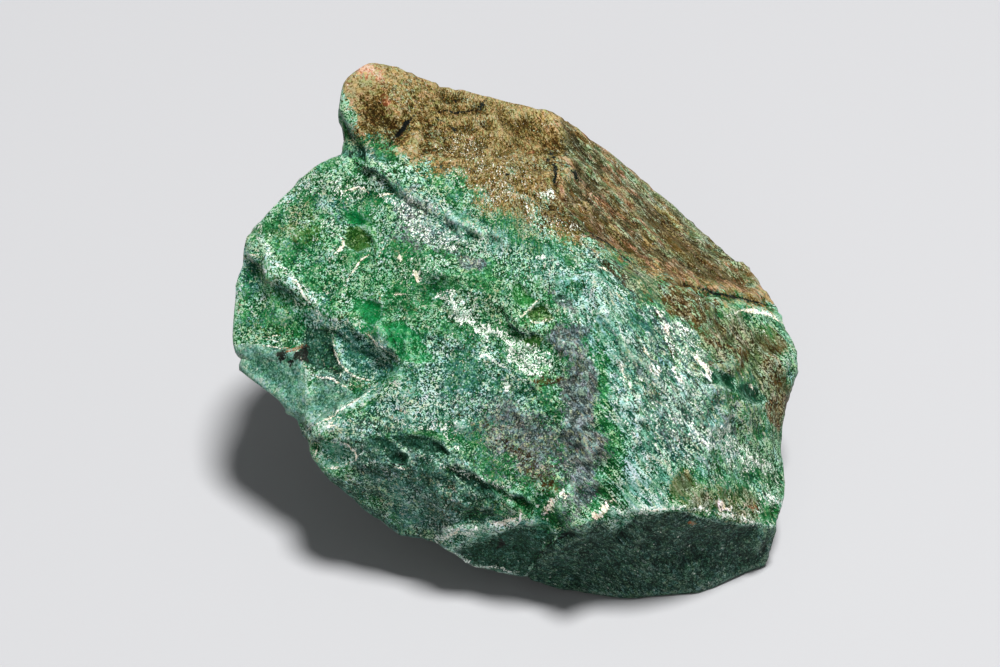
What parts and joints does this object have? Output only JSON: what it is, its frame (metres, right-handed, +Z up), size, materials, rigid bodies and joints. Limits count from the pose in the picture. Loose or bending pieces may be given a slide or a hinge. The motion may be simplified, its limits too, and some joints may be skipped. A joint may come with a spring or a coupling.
{
  "type": "raw malachite",
  "caption": "Rough lump of green malachite rock, broken on all sides, with a brown weathered rind along its top and a flat break to rest on.",
  "frame": {"origin": "middle of the footprint's bounding box, on the surface that the stone rests on", "axes": "+X along the stone's length, towards its blunt lower end; -Y is the side that the broad green face looks to, leaning back; +Z up"},
  "size_m": [0.0814, 0.0672, 0.0561],
  "materials": {
    "malachite": "raw broken mineral: fine-grained green with mint and dark flecks, brown iron-stained rind, mostly matte with small glints"
  },
  "bodies": {
    "root": {"stone": "malachite"}
  },
  "joints": []
}
